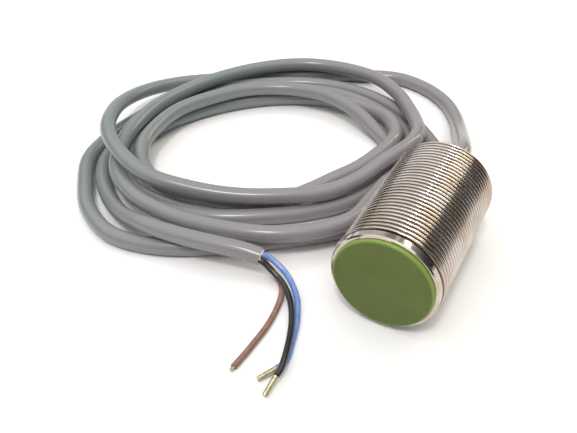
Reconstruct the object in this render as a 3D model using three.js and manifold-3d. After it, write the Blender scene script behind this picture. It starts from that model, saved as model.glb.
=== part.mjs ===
// Inductive proximity sensor with a threaded metal barrel and its cable laid down in a loose coil.
// Millimetres, +Z up. The barrel lies on the floor with its axis along Y and its sensing face to -Y.
// The origin is on the floor, under the middle of the sensor from sensing face to end of the boot.
import * as THREE from "three";
import { mergeVertices } from "three/addons/utils/BufferGeometryUtils.js";
import Module from "manifold-3d";

const wasm = await Module();
wasm.setup();

// ---- Driving dimensions ----------------------------------------------------------------------
const GAP = 0.3; // clearance between pieces that touch or fit
const ROUND_STEPS = 32; // facets round the barrel
const SMALL_STEPS = 20; // facets round the pieces inside
const WIRE_STEPS = 8;

// Barrel: nickel-plated brass tube, fine metric thread.
const THREAD_DIAMETER = 30;
const THREAD_PITCH = 1.5;
const THREAD_DEPTH = 0.92;
const BARREL_LENGTH = 47.4;
const NECK_LENGTH = 2.6; // plain ring in front of the thread
const BARREL_WALL = 1.48; // from the thread's root to the bore
const EDGE_CHAMFER = 0.3;

// Sensing face cap: a plastic cup whose skirt pushes into the barrel.
const CAP_SETBACK = 0.48; // how far the cap's edge stays inside the neck
const CAP_FLANGE = 1.0;
const CAP_EDGE_RADIUS = 0.5;
const CAP_SKIRT_LENGTH = 11;
const CAP_SKIRT_WALL = 1.7;

// O-rings, one on the cap's skirt and one on the end plug.
const RING_SECTION = 0.9;
const RING_GROOVE_DEPTH = 1.2;
const RING_SHOULDER = 1.6; // skirt in front of the groove

// Ferrite pot core, bobbin and winding.
const CORE_LENGTH = 7.5;
const CORE_BASE = 2.0;
const CORE_WALL = 1.5;
const CORE_POST_DIAMETER = 8;
const CORE_HOLE_DIAMETER = 2.4;
const BOBBIN_WALL = 0.6;
const WINDING_SETBACK = 0.7; // how far the copper stays inside the bobbin's flanges
const LEAD_DIAMETER = 0.5;
const LEAD_INSET = 0.6; // how far out of the winding's inside each coil lead starts
const LEAD_SLOT = 1.2;

// Circuit board, its carrier and the shield round them.
const CARRIER_DISC = 1.8;
const RAIL_LENGTH = 5;
const RAIL_WIDTH = 2.6;
const RAIL_HEIGHT = 4.8;
const BOARD_SETBACK = 1.8; // each edge of the board stays this far inside the core's outside
const CORE_FAN_LENGTH = 4.2; // room for the cable's cores between the board and the cable
const BOARD_THICKNESS = 1.2;
const BOARD_TOP = -0.6; // height of the board's top, from the axis
const SHIELD_WALL = 0.4;
const SHIELD_SETBACK = 2.9; // gap from the shield to the potting

// Rear end: potting, end plug, crimp ring, boot.
const POTTING_THICKNESS = 3.8;
const PLUG_LENGTH = 7.1;
const PLUG_RECESS = 0.3; // the plug sits this far inside the barrel's rear edge
const CRIMP_LENGTH = 3.0;
const CRIMP_WALL = 1.1;
const BOOT_LENGTH = 14.3;
const BOOT_ROOT_DIAMETER = 10;
const BOOT_TIP_DIAMETER = 7.4;
const BOOT_STEM_DIAMETER = 7.8;
const BOOT_STEM_LENGTH = 3.3;
const BOOT_GROOVES = 4;
const BOOT_GROOVE_DEPTH = 0.55;
const LIGHT_PIPE_DIAMETER = 2.4;
const LIGHT_PIPE_OFFSET = 6.6;
const LIGHT_HEIGHT = 0.9; // height of the lamp and its light pipe, from the axis

// Cable and the three cores in it.
const CABLE_DIAMETER = 5.2;
const CABLE_STEPS = 90;
const CABLE_FACETS = 10;
const CORE_WIRE_DIAMETER = 1.7;
const CORE_WIRE_STEPS = 16;
const STRANDS_DIAMETER = 0.9;
const STRANDS_LENGTH = 1.4;
const FERRULE_DIAMETER = 1.15;
const FERRULE_LENGTH = 5;

// ---- Places along the axis, from the sensing face to the rear ----------------------------------
const THREAD_RADIUS = THREAD_DIAMETER / 2;
const ROOT_RADIUS = THREAD_RADIUS - THREAD_DEPTH;
const BORE_RADIUS = ROOT_RADIUS - BARREL_WALL;
const FIT_RADIUS = BORE_RADIUS - GAP; // what slides into the bore
const CABLE_RADIUS = CABLE_DIAMETER / 2;
const CABLE_HOLE = CABLE_RADIUS + GAP;

const barrelFront = CAP_FLANGE + GAP;
const barrelRear = barrelFront + BARREL_LENGTH;
const coreFront = CAP_FLANGE + GAP;
const coreRear = coreFront + CORE_LENGTH;
const coreRadius = FIT_RADIUS - CAP_SKIRT_WALL - GAP;
const pocketDepth = CORE_LENGTH - CORE_BASE;
const carrierFront = coreRear + GAP;
const carrierRear = carrierFront + CARRIER_DISC;
const boardFront = carrierRear + GAP;
const plugRear = barrelRear - PLUG_RECESS;
const plugFront = plugRear - PLUG_LENGTH;
const pottingRear = plugFront - GAP;
const pottingFront = pottingRear - POTTING_THICKNESS;
const stubFront = pottingFront - GAP;
const boardRear = stubFront - CORE_FAN_LENGTH;
const bootFront = barrelRear;
const bootRear = bootFront + BOOT_LENGTH;
const overallLength = bootRear;
const boardHalf = coreRadius - BOARD_SETBACK;
const boardBottom = BOARD_TOP - BOARD_THICKNESS;
const seatHeight = BOARD_TOP + GAP; // undersides of what is soldered on the board

// ---- Materials --------------------------------------------------------------------------------
function finish(color, roughness, metalness) {
  return new THREE.MeshStandardMaterial({ color, roughness, metalness });
}
const nickel = finish(0xb9aea2, 0.3, 1);
const greenPlastic = finish(0x687a46, 0.45, 0);
const blackRubber = finish(0x1c1c1c, 0.7, 0);
const ferrite = finish(0x3b3d40, 0.8, 0.1);
const bobbinPlastic = finish(0xd8d2bd, 0.5, 0);
const copper = finish(0xb5663a, 0.35, 1);
const carrierPlastic = finish(0x2a2a2c, 0.5, 0);
const shieldMetal = finish(0xb98c4a, 0.4, 1);
const boardGreen = finish(0x1f5a36, 0.5, 0);
const chipBlack = finish(0x222224, 0.5, 0);
const ceramicTan = finish(0xb79b72, 0.6, 0);
const resistorBlack = finish(0x2c2c30, 0.6, 0);
const canAluminium = finish(0xc8c9cb, 0.3, 1);
const glassRed = finish(0xa0452a, 0.2, 0);
const lampYellow = finish(0xe8b93a, 0.3, 0);
const clearPlastic = finish(0xdfe6e4, 0.1, 0);
const solder = finish(0xc2c4c6, 0.3, 1);
const resin = finish(0x3a3128, 0.5, 0);
const plugPlastic = finish(0x26272a, 0.5, 0);
const greyPvc = finish(0x94999a, 0.45, 0);
const blueCore = finish(0x5273d2, 0.4, 0);
const blackCore = finish(0x232220, 0.4, 0);
const brownCore = finish(0x765243, 0.45, 0);
const tinned = finish(0xb5ab80, 0.35, 1);

// ---- Shapes -----------------------------------------------------------------------------------
// A turned piece: [radius, station] pairs, going up the outside and down the inside.
function turned(profile, steps = SMALL_STEPS) {
  const points = profile.map(([radius, station]) => new THREE.Vector2(radius, station));
  return new THREE.LatheGeometry(points, steps);
}

function ring(inner, outer, from, to, steps) {
  const profile = [[inner, from], [outer, from], [outer, to], [inner, to], [inner, from]];
  return turned(profile, steps);
}

function disc(radius, from, to, steps) {
  return turned([[0, from], [radius, from], [radius, to], [0, to]], steps);
}

// A block by its lowest and highest corners.
function block(low, high) {
  const size = high.map((value, k) => value - low[k]);
  const middle = high.map((value, k) => (value + low[k]) / 2);
  return new THREE.BoxGeometry(...size).translate(...middle);
}

function toSolid(geometry) {
  const bare = geometry.clone();
  bare.deleteAttribute("normal");
  bare.deleteAttribute("uv");
  const merged = mergeVertices(bare, 1e-4);
  const vertProperties = merged.attributes.position.array;
  const triVerts = new Uint32Array(merged.index.array);
  return new wasm.Manifold(new wasm.Mesh({ numProp: 3, vertProperties, triVerts }));
}

function toGeometry(solid) {
  const mesh = solid.getMesh();
  const geometry = new THREE.BufferGeometry();
  geometry.setAttribute("position", new THREE.BufferAttribute(mesh.vertProperties, 3));
  geometry.setIndex(new THREE.BufferAttribute(mesh.triVerts, 1));
  geometry.computeVertexNormals();
  return geometry;
}

function cut(geometry, tools) {
  return toGeometry(tools.reduce((solid, tool) => solid.subtract(toSolid(tool)), toSolid(geometry)));
}

function join(geometries) {
  return toGeometry(geometries.map(toSolid).reduce((whole, solid) => whole.add(solid)));
}

// A round tube or wire through hand-chosen points.
function cordCurve(points) {
  const places = points.map((point) => new THREE.Vector3(...point));
  const curve = new THREE.CatmullRomCurve3(places, false, "centripetal");
  curve.arcLengthDivisions = 40 * points.length;
  return curve;
}

function tube(points, diameter, steps, facets = WIRE_STEPS) {
  const section = new THREE.Shape();
  for (let k = 0; k < facets; k += 1) {
    const turn = (2 * Math.PI * k) / facets;
    const x = (diameter / 2) * Math.cos(turn);
    const y = (diameter / 2) * Math.sin(turn);
    if (k === 0) section.moveTo(x, y);
    else section.lineTo(x, y);
  }
  const extrudePath = cordCurve(points);
  return new THREE.ExtrudeGeometry(section, { extrudePath, steps, bevelEnabled: false });
}

// A short round rod from one point to another.
function rod(from, to, diameter, facets = SMALL_STEPS) {
  return tube([from, to], diameter, 1, facets);
}

const part = new THREE.Group();
const sensor = new THREE.Group(); // stations count from its origin, the middle of the sensing face
sensor.position.set(0, -overallLength / 2, THREAD_RADIUS);
part.add(sensor);

function add(group, name, geometry, material) {
  const mesh = new THREE.Mesh(geometry, material);
  mesh.name = name;
  group.add(mesh);
}

// ---- Barrel -----------------------------------------------------------------------------------
// The thread is drawn as plain V grooves at the thread's own pitch.
function barrelProfile() {
  const threadFront = barrelFront + NECK_LENGTH;
  const turns = Math.floor((barrelRear - EDGE_CHAMFER - threadFront) / THREAD_PITCH);
  const threadRear = threadFront + turns * THREAD_PITCH;
  const profile = [
    [BORE_RADIUS, barrelFront],
    [ROOT_RADIUS - EDGE_CHAMFER, barrelFront],
    [ROOT_RADIUS, barrelFront + EDGE_CHAMFER],
  ];
  for (let turn = 0; turn < turns; turn += 1) {
    const groove = threadFront + turn * THREAD_PITCH;
    profile.push([ROOT_RADIUS, groove], [THREAD_RADIUS, groove + THREAD_PITCH / 2]);
  }
  profile.push(
    [ROOT_RADIUS, threadRear],
    [ROOT_RADIUS, barrelRear - EDGE_CHAMFER],
    [ROOT_RADIUS - EDGE_CHAMFER, barrelRear],
    [BORE_RADIUS, barrelRear],
    [BORE_RADIUS, barrelFront],
  );
  return profile;
}
add(sensor, "threaded_barrel", turned(barrelProfile(), ROUND_STEPS), nickel);

// ---- Sensing face cap and its O-ring ------------------------------------------------------------
const ringCentre = FIT_RADIUS - RING_GROOVE_DEPTH + GAP + RING_SECTION / 2;
const grooveWidth = RING_SECTION + 2 * GAP;

function capProfile() {
  const radius = ROOT_RADIUS - CAP_SETBACK;
  const inner = coreRadius + GAP;
  const skirtEnd = CAP_FLANGE + CAP_SKIRT_LENGTH;
  const grooveFront = CAP_FLANGE + RING_SHOULDER;
  const grooveRadius = FIT_RADIUS - RING_GROOVE_DEPTH;
  return [
    [0, 0],
    [radius - CAP_EDGE_RADIUS, 0],
    [radius - CAP_EDGE_RADIUS * (1 - Math.SQRT1_2), CAP_EDGE_RADIUS * (1 - Math.SQRT1_2)],
    [radius, CAP_EDGE_RADIUS],
    [radius, CAP_FLANGE],
    [FIT_RADIUS, CAP_FLANGE],
    [FIT_RADIUS, grooveFront],
    [grooveRadius, grooveFront],
    [grooveRadius, grooveFront + grooveWidth],
    [FIT_RADIUS, grooveFront + grooveWidth],
    [FIT_RADIUS, skirtEnd],
    [inner, skirtEnd],
    [inner, CAP_FLANGE],
    [0, CAP_FLANGE],
  ];
}
add(sensor, "sensing_face_cap", turned(capProfile(), ROUND_STEPS), greenPlastic);

function sealingRing(station) {
  const torus = new THREE.TorusGeometry(ringCentre, RING_SECTION / 2, WIRE_STEPS, ROUND_STEPS);
  return torus.rotateX(Math.PI / 2).translate(0, station, 0);
}
const capRingStation = CAP_FLANGE + RING_SHOULDER + grooveWidth / 2;
add(sensor, "cap_o_ring", sealingRing(capRingStation), blackRubber);

// ---- Pot core, bobbin and winding ---------------------------------------------------------------
const postRadius = CORE_POST_DIAMETER / 2;
const pocketRadius = coreRadius - CORE_WALL;
const pocketRear = coreFront + pocketDepth;
const hubInner = postRadius + GAP;
const hubOuter = hubInner + BOBBIN_WALL;
const windingInner = hubOuter + GAP;
const leadOffset = windingInner + LEAD_INSET; // distance of each coil lead from the axis
const leadSlots = [-1, 1].map((side) => {
  const x = side * leadOffset;
  const half = LEAD_SLOT / 2;
  const slotRear = carrierRear + RAIL_LENGTH + GAP;
  return block([x - half, pocketRear - 4 * GAP, -half], [x + half, slotRear, half]);
});

const coreProfile = [
  [CORE_HOLE_DIAMETER / 2, coreFront],
  [postRadius, coreFront],
  [postRadius, pocketRear],
  [pocketRadius, pocketRear],
  [pocketRadius, coreFront],
  [coreRadius, coreFront],
  [coreRadius, coreRear],
  [CORE_HOLE_DIAMETER / 2, coreRear],
  [CORE_HOLE_DIAMETER / 2, coreFront],
];
add(sensor, "ferrite_pot_core", cut(turned(coreProfile), leadSlots), ferrite);

const flangeRadius = pocketRadius - GAP;
const bobbinFront = coreFront + GAP;
const bobbinRear = pocketRear - GAP;
const bobbinProfile = [
  [hubInner, bobbinFront],
  [flangeRadius, bobbinFront],
  [flangeRadius, bobbinFront + BOBBIN_WALL],
  [hubOuter, bobbinFront + BOBBIN_WALL],
  [hubOuter, bobbinRear - BOBBIN_WALL],
  [flangeRadius, bobbinRear - BOBBIN_WALL],
  [flangeRadius, bobbinRear],
  [hubInner, bobbinRear],
  [hubInner, bobbinFront],
];
add(sensor, "coil_bobbin", cut(turned(bobbinProfile), leadSlots), bobbinPlastic);

const windingFront = bobbinFront + BOBBIN_WALL + GAP;
const windingRear = bobbinRear - BOBBIN_WALL - GAP;
const winding = ring(windingInner, flangeRadius - WINDING_SETBACK, windingFront, windingRear);
add(sensor, "coil_winding", winding, copper);

const padStation = boardFront + 2;
function coilLead(side) {
  const x = side * leadOffset;
  const height = seatHeight + LEAD_DIAMETER / 2;
  const points = [
    [x, windingRear + GAP, 0],
    [x, carrierFront, 0],
    [x, carrierRear, 0],
    [x, padStation, height],
  ];
  return tube(points, LEAD_DIAMETER, 6);
}
add(sensor, "coil_lead_start", coilLead(-1), copper);
add(sensor, "coil_lead_finish", coilLead(1), copper);

// ---- Carrier, board and shield ------------------------------------------------------------------
const railOuter = boardHalf + 4 * GAP;
const railMiddle = (BOARD_TOP + boardBottom) / 2;
const rails = [-1, 1].map((side) => {
  const near = side * (railOuter - RAIL_WIDTH);
  const far = side * railOuter;
  const low = [Math.min(near, far), carrierRear - GAP, railMiddle - RAIL_HEIGHT / 2];
  return block(low, [Math.max(near, far), carrierRear + RAIL_LENGTH, railMiddle + RAIL_HEIGHT / 2]);
});
const boardSlot = block(
  [-boardHalf - GAP, carrierRear, boardBottom - GAP],
  [boardHalf + GAP, carrierRear + RAIL_LENGTH + GAP, BOARD_TOP + GAP],
);
const carrierBody = join([disc(coreRadius, carrierFront, carrierRear), ...rails]);
add(sensor, "core_carrier", cut(carrierBody, [boardSlot, ...leadSlots]), carrierPlastic);

const board = block(
  [-boardHalf, boardFront, boardBottom],
  [boardHalf, boardRear, BOARD_TOP],
);
add(sensor, "circuit_board", board, boardGreen);

const shieldFront = CAP_FLANGE + CAP_SKIRT_LENGTH + GAP;
const shieldRear = pottingFront - SHIELD_SETBACK;
const shield = ring(FIT_RADIUS - SHIELD_WALL, FIT_RADIUS, shieldFront, shieldRear);
add(sensor, "shield_sleeve", shield, shieldMetal);

// ---- What is soldered on the board --------------------------------------------------------------
// Every piece is placed by its middle, x across the board and station along it.
function chipBody(x, station, width, length, height) {
  return block(
    [x - width / 2, station - length / 2, seatHeight],
    [x + width / 2, station + length / 2, seatHeight + height],
  );
}

// A moulded package with a row of bent legs along each long side.
function legged(x, station, width, length, height, legsLeft, legsRight) {
  const legWidth = 0.4;
  const legReach = 1;
  const legHeight = 0.5;
  const lift = 0.15;
  const solids = [chipBody(x, station, width, length, height).translate(0, 0, lift)];
  [[-1, legsLeft], [1, legsRight]].forEach(([side, count]) => {
    for (let k = 0; k < count; k += 1) {
      const along = station + (length * (k + 0.5)) / count - length / 2;
      const middle = x + side * (width / 2 + legReach / 2 - lift);
      solids.push(chipBody(middle, along, legReach + lift, legWidth, legHeight));
    }
  });
  return join(solids);
}

const chipRow = boardFront + 5.9;
const chipPlaces = { oscillator: chipRow, passives: chipRow + 3.9, power: chipRow + 7.6 };
add(sensor, "oscillator_chip", legged(0, chipPlaces.oscillator, 4, 5, 1.5, 4, 4), chipBlack);
add(sensor, "output_transistor", legged(-3.6, chipPlaces.power, 3.6, 5, 1.7, 1, 3), chipBlack);
add(sensor, "voltage_regulator", legged(3.2, chipPlaces.power - 1, 2.4, 2.6, 1.2, 1, 2), chipBlack);

// A chip part: a block with a raised cap of metal at each end.
function chipPart(x, station, length, width, height) {
  const capLength = length * 0.18;
  const rise = 0.06;
  const body = chipBody(x, station, length, width - 2 * rise, height - rise);
  const ends = [-1, 1].map((side) => {
    return chipBody(x + (side * (length - capLength)) / 2, station, capLength, width, height);
  });
  return join([body, ...ends]);
}
add(sensor, "tank_capacitor", chipPart(-5.4, chipPlaces.oscillator, 3.2, 2.4, 1.4), ceramicTan);
add(sensor, "filter_capacitor", chipPart(5.4, chipPlaces.oscillator, 3.2, 1.8, 1.2), ceramicTan);
add(sensor, "gain_resistor", chipPart(-5, chipPlaces.passives, 3.2, 1.6, 0.6), resistorBlack);
add(sensor, "bias_resistor", chipPart(-1, chipPlaces.passives, 3.2, 1.6, 0.6), resistorBlack);
add(sensor, "sense_resistor", chipPart(3, chipPlaces.passives, 3.2, 1.6, 0.6), resistorBlack);

const diodeRadius = 1.1;
const diodeLength = 3.6;
const diodeHeight = seatHeight + diodeRadius;
const diodePlace = chipPlaces.power + 1.8;
const diode = disc(diodeRadius, 0, diodeLength);
diode.rotateZ(-Math.PI / 2).translate(1.4, diodePlace, diodeHeight);
add(sensor, "protection_diode", diode, glassRed);

const canRadius = 2;
const canHeight = 5.4;
const canProfile = [
  [0, 0],
  [canRadius, 0],
  [canRadius, 0.8],
  [canRadius - 0.2, 1],
  [canRadius, 1.2],
  [canRadius, canHeight - 0.3],
  [canRadius - 0.3, canHeight],
  [0, canHeight],
];
const can = turned(canProfile);
can.rotateX(Math.PI / 2).translate(-6.4, chipPlaces.power + 4.7, seatHeight);
add(sensor, "smoothing_capacitor", can, canAluminium);

// The lamp looks to the rear along its light pipe.
const lampRadius = LIGHT_PIPE_DIAMETER / 2;
const lampFront = boardRear - 1.5;
const lamp = disc(lampRadius - GAP, 0, 2.2).translate(LIGHT_PIPE_OFFSET, lampFront, LIGHT_HEIGHT);
add(sensor, "status_lamp", lamp, lampYellow);

// ---- Rear end -----------------------------------------------------------------------------------
const pipeHole = disc(lampRadius + GAP, pottingFront - 1, plugRear + 1);
pipeHole.translate(LIGHT_PIPE_OFFSET, 0, LIGHT_HEIGHT);
const pottingBody = ring(CABLE_HOLE, FIT_RADIUS, pottingFront, pottingRear);
add(sensor, "potting_plug", cut(pottingBody, [pipeHole]), resin);

const crimpRadius = CABLE_HOLE + CRIMP_WALL;
const crimpRecess = plugFront + CRIMP_LENGTH + 2 * GAP;
const stemHole = BOOT_STEM_DIAMETER / 2 + GAP;
const plugGroove = plugFront + RING_SHOULDER;
const plugProfile = [
  [crimpRadius + GAP, plugFront],
  [FIT_RADIUS, plugFront],
  [FIT_RADIUS, plugGroove],
  [FIT_RADIUS - RING_GROOVE_DEPTH, plugGroove],
  [FIT_RADIUS - RING_GROOVE_DEPTH, plugGroove + grooveWidth],
  [FIT_RADIUS, plugGroove + grooveWidth],
  [FIT_RADIUS, plugRear - EDGE_CHAMFER],
  [FIT_RADIUS - EDGE_CHAMFER, plugRear],
  [stemHole, plugRear],
  [stemHole, crimpRecess],
  [crimpRadius + GAP, crimpRecess],
  [crimpRadius + GAP, plugFront],
];
add(sensor, "rear_end_plug", cut(turned(plugProfile, ROUND_STEPS), [pipeHole]), plugPlastic);
add(sensor, "plug_o_ring", sealingRing(plugGroove + grooveWidth / 2), blackRubber);

const crimpFront = plugFront + GAP;
const crimp = ring(CABLE_HOLE, crimpRadius, crimpFront, crimpFront + CRIMP_LENGTH);
add(sensor, "cable_crimp_ring", crimp, tinned);

const pipeFront = lampFront + 2.2 + GAP;
const lightPipe = disc(lampRadius, pipeFront, plugRear);
lightPipe.translate(LIGHT_PIPE_OFFSET, 0, LIGHT_HEIGHT);
add(sensor, "lamp_light_pipe", lightPipe, clearPlastic);

// The boot tapers to the rear and has rings cut in it, so that it bends in an even curve.
function bootProfile() {
  const root = BOOT_ROOT_DIAMETER / 2;
  const tip = BOOT_TIP_DIAMETER / 2;
  const collar = 2;
  const pitch = (BOOT_LENGTH - 2 * collar) / BOOT_GROOVES;
  const radiusAt = (run) => root + ((tip - root) * run) / BOOT_LENGTH;
  const stemRadius = BOOT_STEM_DIAMETER / 2;
  const profile = [
    [CABLE_HOLE, bootFront - BOOT_STEM_LENGTH],
    [stemRadius, bootFront - BOOT_STEM_LENGTH],
    [stemRadius, bootFront],
    [root, bootFront],
  ];
  for (let k = 0; k < BOOT_GROOVES; k += 1) {
    const run = collar + k * pitch;
    profile.push(
      [radiusAt(run), bootFront + run],
      [radiusAt(run) - BOOT_GROOVE_DEPTH, bootFront + run + 0.2 * pitch],
      [radiusAt(run) - BOOT_GROOVE_DEPTH, bootFront + run + 0.4 * pitch],
      [radiusAt(run + 0.6 * pitch), bootFront + run + 0.6 * pitch],
    );
  }
  profile.push([tip, bootRear], [CABLE_HOLE, bootRear], [CABLE_HOLE, bootFront - BOOT_STEM_LENGTH]);
  return profile;
}
add(sensor, "strain_relief_boot", turned(bootProfile()), plugPlastic);
add(sensor, "cable_in_boot", disc(CABLE_RADIUS, stubFront, bootRear - GAP), greyPvc);

// ---- Cores from the cable to the board, and their solder joints ---------------------------------
function solderDome(x, station) {
  const profile = [[0, 0], [0.65, 0], [0.5, 0.3], [0.25, 0.5], [0, 0.55]];
  return turned(profile, WIRE_STEPS).rotateX(Math.PI / 2).translate(x, station, seatHeight);
}

const innerCores = [
  ["brown_inner_core", -1.1, -3.2, brownCore],
  ["black_inner_core", 0, 0, blackCore],
  ["blue_inner_core", 1.1, 3.2, blueCore],
];
const corePads = boardRear - 2.2;
innerCores.forEach(([name, atCable, atBoard, material]) => {
  const height = seatHeight + CORE_WIRE_DIAMETER / 2;
  const side = Math.sign(atBoard) * CORE_WIRE_DIAMETER * 0.25;
  const points = [
    [atCable + side, stubFront - GAP, 0.6],
    [atBoard * 0.6 + side, (stubFront + boardRear) / 2, 0.5],
    [atBoard, boardRear - 0.6, height],
    [atBoard, corePads + 0.9, height],
  ];
  add(sensor, name, tube(points, CORE_WIRE_DIAMETER, 8), material);
  const joint = name.replace("inner_core", "solder_joint");
  add(sensor, joint, solderDome(atBoard, corePads - 0.1), solder);
});
[["start", -1], ["finish", 1]].forEach(([end, side]) => {
  const dome = solderDome(side * leadOffset, padStation + GAP + 0.7);
  add(sensor, `coil_${end}_solder_joint`, dome, solder);
});

// ---- Cable laid on the floor --------------------------------------------------------------------
// Heights: 2.6 is a turn on the floor, 8.2 one that lies on another, 13.8 one on top of two.
const cableRoute = [
  // Out of the boot, down to the floor and along the back.
  [0, overallLength / 2 + GAP, THREAD_RADIUS], [0, overallLength / 2 + 6.5, THREAD_RADIUS - 0.3],
  [-2, 46, 12.4], [-5, 56, 8.8], [-8.5, 67, 5.4], [-13, 78, 3.2], [-20, 88, 2.8], [-31, 96, 2.7],
  [-44, 99, 2.7], [-57, 95, 2.7], [-70, 89, 2.7], [-85, 81, 2.7], [-100, 71, 2.75], [-112, 61, 2.9],
  // Up over all the other turns at the left, and back along the front.
  [-121, 49, 4.5], [-125, 36, 6.8], [-124.5, 22, 9.6], [-119.5, 8, 12.6], [-111, -5, 13.8],
  [-98, -14, 13.6], [-84, -18, 12], [-70, -15, 9.8], [-57, -10, 8.4], [-44, -3, 8.2], [-33, 5, 8.3],
  [-26, 15, 9.6],
  // Up behind the barrel, round the back as the outermost turn, and down the left.
  [-21.5, 25, 12], [-17, 35, 13.8], [-17.5, 45, 12.8], [-21.5, 55, 10.6], [-28, 66, 8.8],
  [-37, 77, 8.2], [-50, 85, 8.2], [-66, 86, 8.2], [-80, 82, 8.2], [-92, 73, 8.2], [-103, 58, 8.2],
  [-110, 41, 8.2], [-113, 24, 8.2], [-111, 7, 8.2], [-106, -6, 8.2], [-98, -17, 8.2],
  [-85, -24.5, 8.2], [-69, -27.3, 8.2], [-53, -25.4, 8.2], [-38, -20.5, 8.2], [-27, -12.7, 8.2],
  // Behind the barrel again, then on the floor to the far left and the front.
  [-20, -3, 8.4], [-18.7, 9, 8.6], [-17.2, 20, 8.9], [-11.2, 30, 7.6], [-8, 41, 4.2],
  [-11, 51, 2.9], [-18.5, 60.5, 2.7], [-28.5, 69.5, 2.7], [-42, 77, 2.7], [-57, 80, 2.7],
  [-72, 78, 2.7], [-87, 71, 2.7], [-100, 60, 2.7], [-110, 47, 2.7], [-117.5, 32, 2.7],
  [-120.3, 17, 2.7], [-120.5, 3, 2.7], [-117.5, -10, 2.7], [-108.5, -22, 2.7], [-98, -32, 2.7],
  [-84, -38, 2.7], [-69, -36, 2.7], [-55, -29, 2.7], [-40, -18, 2.7],
  // Round the right on the floor, then on top of the turns at the back.
  [-27, -7, 2.7], [-18.5, 3, 2.7], [-15, 14, 2.7], [-14, 26, 2.7], [-18, 37, 2.7],
  [-25.5, 46, 2.85], [-35, 53, 4], [-46, 58, 7], [-60, 61.5, 8.4], [-75, 60, 8.2], [-89, 52, 8.2],
  [-98, 40, 8.2], [-104, 26, 8.2], [-104, 12, 8.2], [-101, 0, 7.5], [-94, -8, 5], [-82, -11, 2.8],
  [-68, -9, 2.7], [-56, -5.5, 2.7],
  // The innermost turn, which doubles back at the right over the one before.
  [-47, 1, 2.7], [-41, 9.5, 3.2], [-36, 18, 4.2], [-31, 26, 5.4], [-27.5, 34, 7], [-25.5, 42, 8.3],
  [-27, 50, 8.2], [-33, 58, 7.4], [-42, 63.5, 6], [-54, 67, 4.2], [-69, 65.5, 2.8], [-83, 58, 2.7],
  [-94.5, 47, 2.7], [-103, 34, 2.7], [-108.5, 19.5, 2.7], [-109, 5, 2.7], [-103.5, -7, 2.7],
  [-93, -16, 2.7], [-79, -19, 2.7], [-63, -17, 2.7], [-48, -9, 2.75], [-35, 1, 2.8],
  [-26.5, 11, 3.4],
  // Over the third turn behind the barrel, and once more round on the floor.
  [-22.2, 20, 4.7], [-18.5, 29, 7.4], [-17.5, 37, 8.2], [-19.5, 45, 7], [-22.5, 53, 5],
  [-27.3, 60, 3.2], [-34.5, 66, 2.75], [-46, 71.5, 2.7], [-59, 74, 2.7], [-74, 71, 2.7],
  [-87, 63, 2.7], [-98.5, 52, 2.7], [-108, 38.5, 2.7], [-113.7, 23.5, 2.7], [-115, 8, 2.7],
  [-112.5, -6, 2.7], [-106.5, -15.5, 2.7], [-95.5, -24.8, 3], [-84, -31.2, 5.2],
  // Over the front turn to the cut end.
  [-72, -34, 7.8], [-60, -33.5, 8.2], [-49, -31.6, 8.1], [-42, -29.9, 7.6], [-36.7, -28.8, 6.7],
];
add(part, "cable_jacket", tube(cableRoute, CABLE_DIAMETER, CABLE_STEPS, CABLE_FACETS), greyPvc);

// ---- The three cores at the cut end ---------------------------------------------------------------
// Each core is stripped at its tip: blue and black carry a crimped ferrule, brown shows bare strands.
const blueRoute = [
  [-35.8, -28.7, 7.6], [-34.1, -28.3, 6.9], [-32, -28.3, 5.9], [-28, -29.4, 4.2], [-24.9, -31.4, 2.8],
  [-22.3, -34.1, 1.7], [-20.5, -37.1, 1.05], [-18.7, -41, 0.9], [-17.3, -45.1, 0.9],
  [-16.1, -49.3, 0.9], [-15.3, -52.1, 0.9], [-15.1, -54.1, 0.9], [-15.5, -55.7, 0.9],
  [-16, -56.7, 0.9],
];
const blackRoute = [
  [-35.6, -30.2, 6.4], [-34.3, -30.1, 5.6], [-32.5, -30.3, 4.5], [-28.7, -31.3, 3], [-25.2, -34, 2.4],
  [-21.9, -38.2, 2.3], [-19.3, -42.8, 2.4], [-17.3, -47.5, 2.5], [-15.8, -51.9, 2.7],
  [-14.8, -55.3, 2.8], [-14.3, -57.8, 2.7], [-14.4, -59.7, 2.5],
];
const brownRoute = [
  [-36.5, -28.2, 4.9], [-34.7, -28.2, 3.5], [-32.6, -28.6, 2.1], [-30.3, -29.8, 1.1],
  [-28.4, -31.7, 0.9], [-27, -34.5, 0.9], [-26.1, -37.6, 0.9], [-25.3, -41.9, 0.9],
  [-24.9, -46.9, 0.9], [-25, -51.9, 0.9], [-25.2, -56.6, 0.9], [-25.6, -61.3, 0.9],
];

// What is fixed to the tip of a core: a rod that goes on in the core's last direction.
function tip(route, diameter, length, drop) {
  const [before, last] = route.slice(-2).map((point) => new THREE.Vector3(...point));
  const along = last.clone().sub(before).setZ(-drop).normalize();
  const from = last.clone().addScaledVector(along, GAP);
  const to = from.clone().addScaledVector(along, length);
  return rod(from.toArray(), to.toArray(), diameter, WIRE_STEPS);
}
const cores = [
  ["blue_core", blueRoute, blueCore],
  ["black_core", blackRoute, blackCore],
  ["brown_core", brownRoute, brownCore],
];
cores.forEach(([name, route, material]) => {
  add(part, name, tube(route, CORE_WIRE_DIAMETER, CORE_WIRE_STEPS), material);
});
add(part, "blue_ferrule", tip(blueRoute, FERRULE_DIAMETER, FERRULE_LENGTH, 0), tinned);
add(part, "black_ferrule", tip(blackRoute, FERRULE_DIAMETER, FERRULE_LENGTH, 0.6), tinned);
add(part, "brown_bare_strands", tip(brownRoute, STRANDS_DIAMETER, STRANDS_LENGTH, 0), copper);

export default part;
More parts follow.
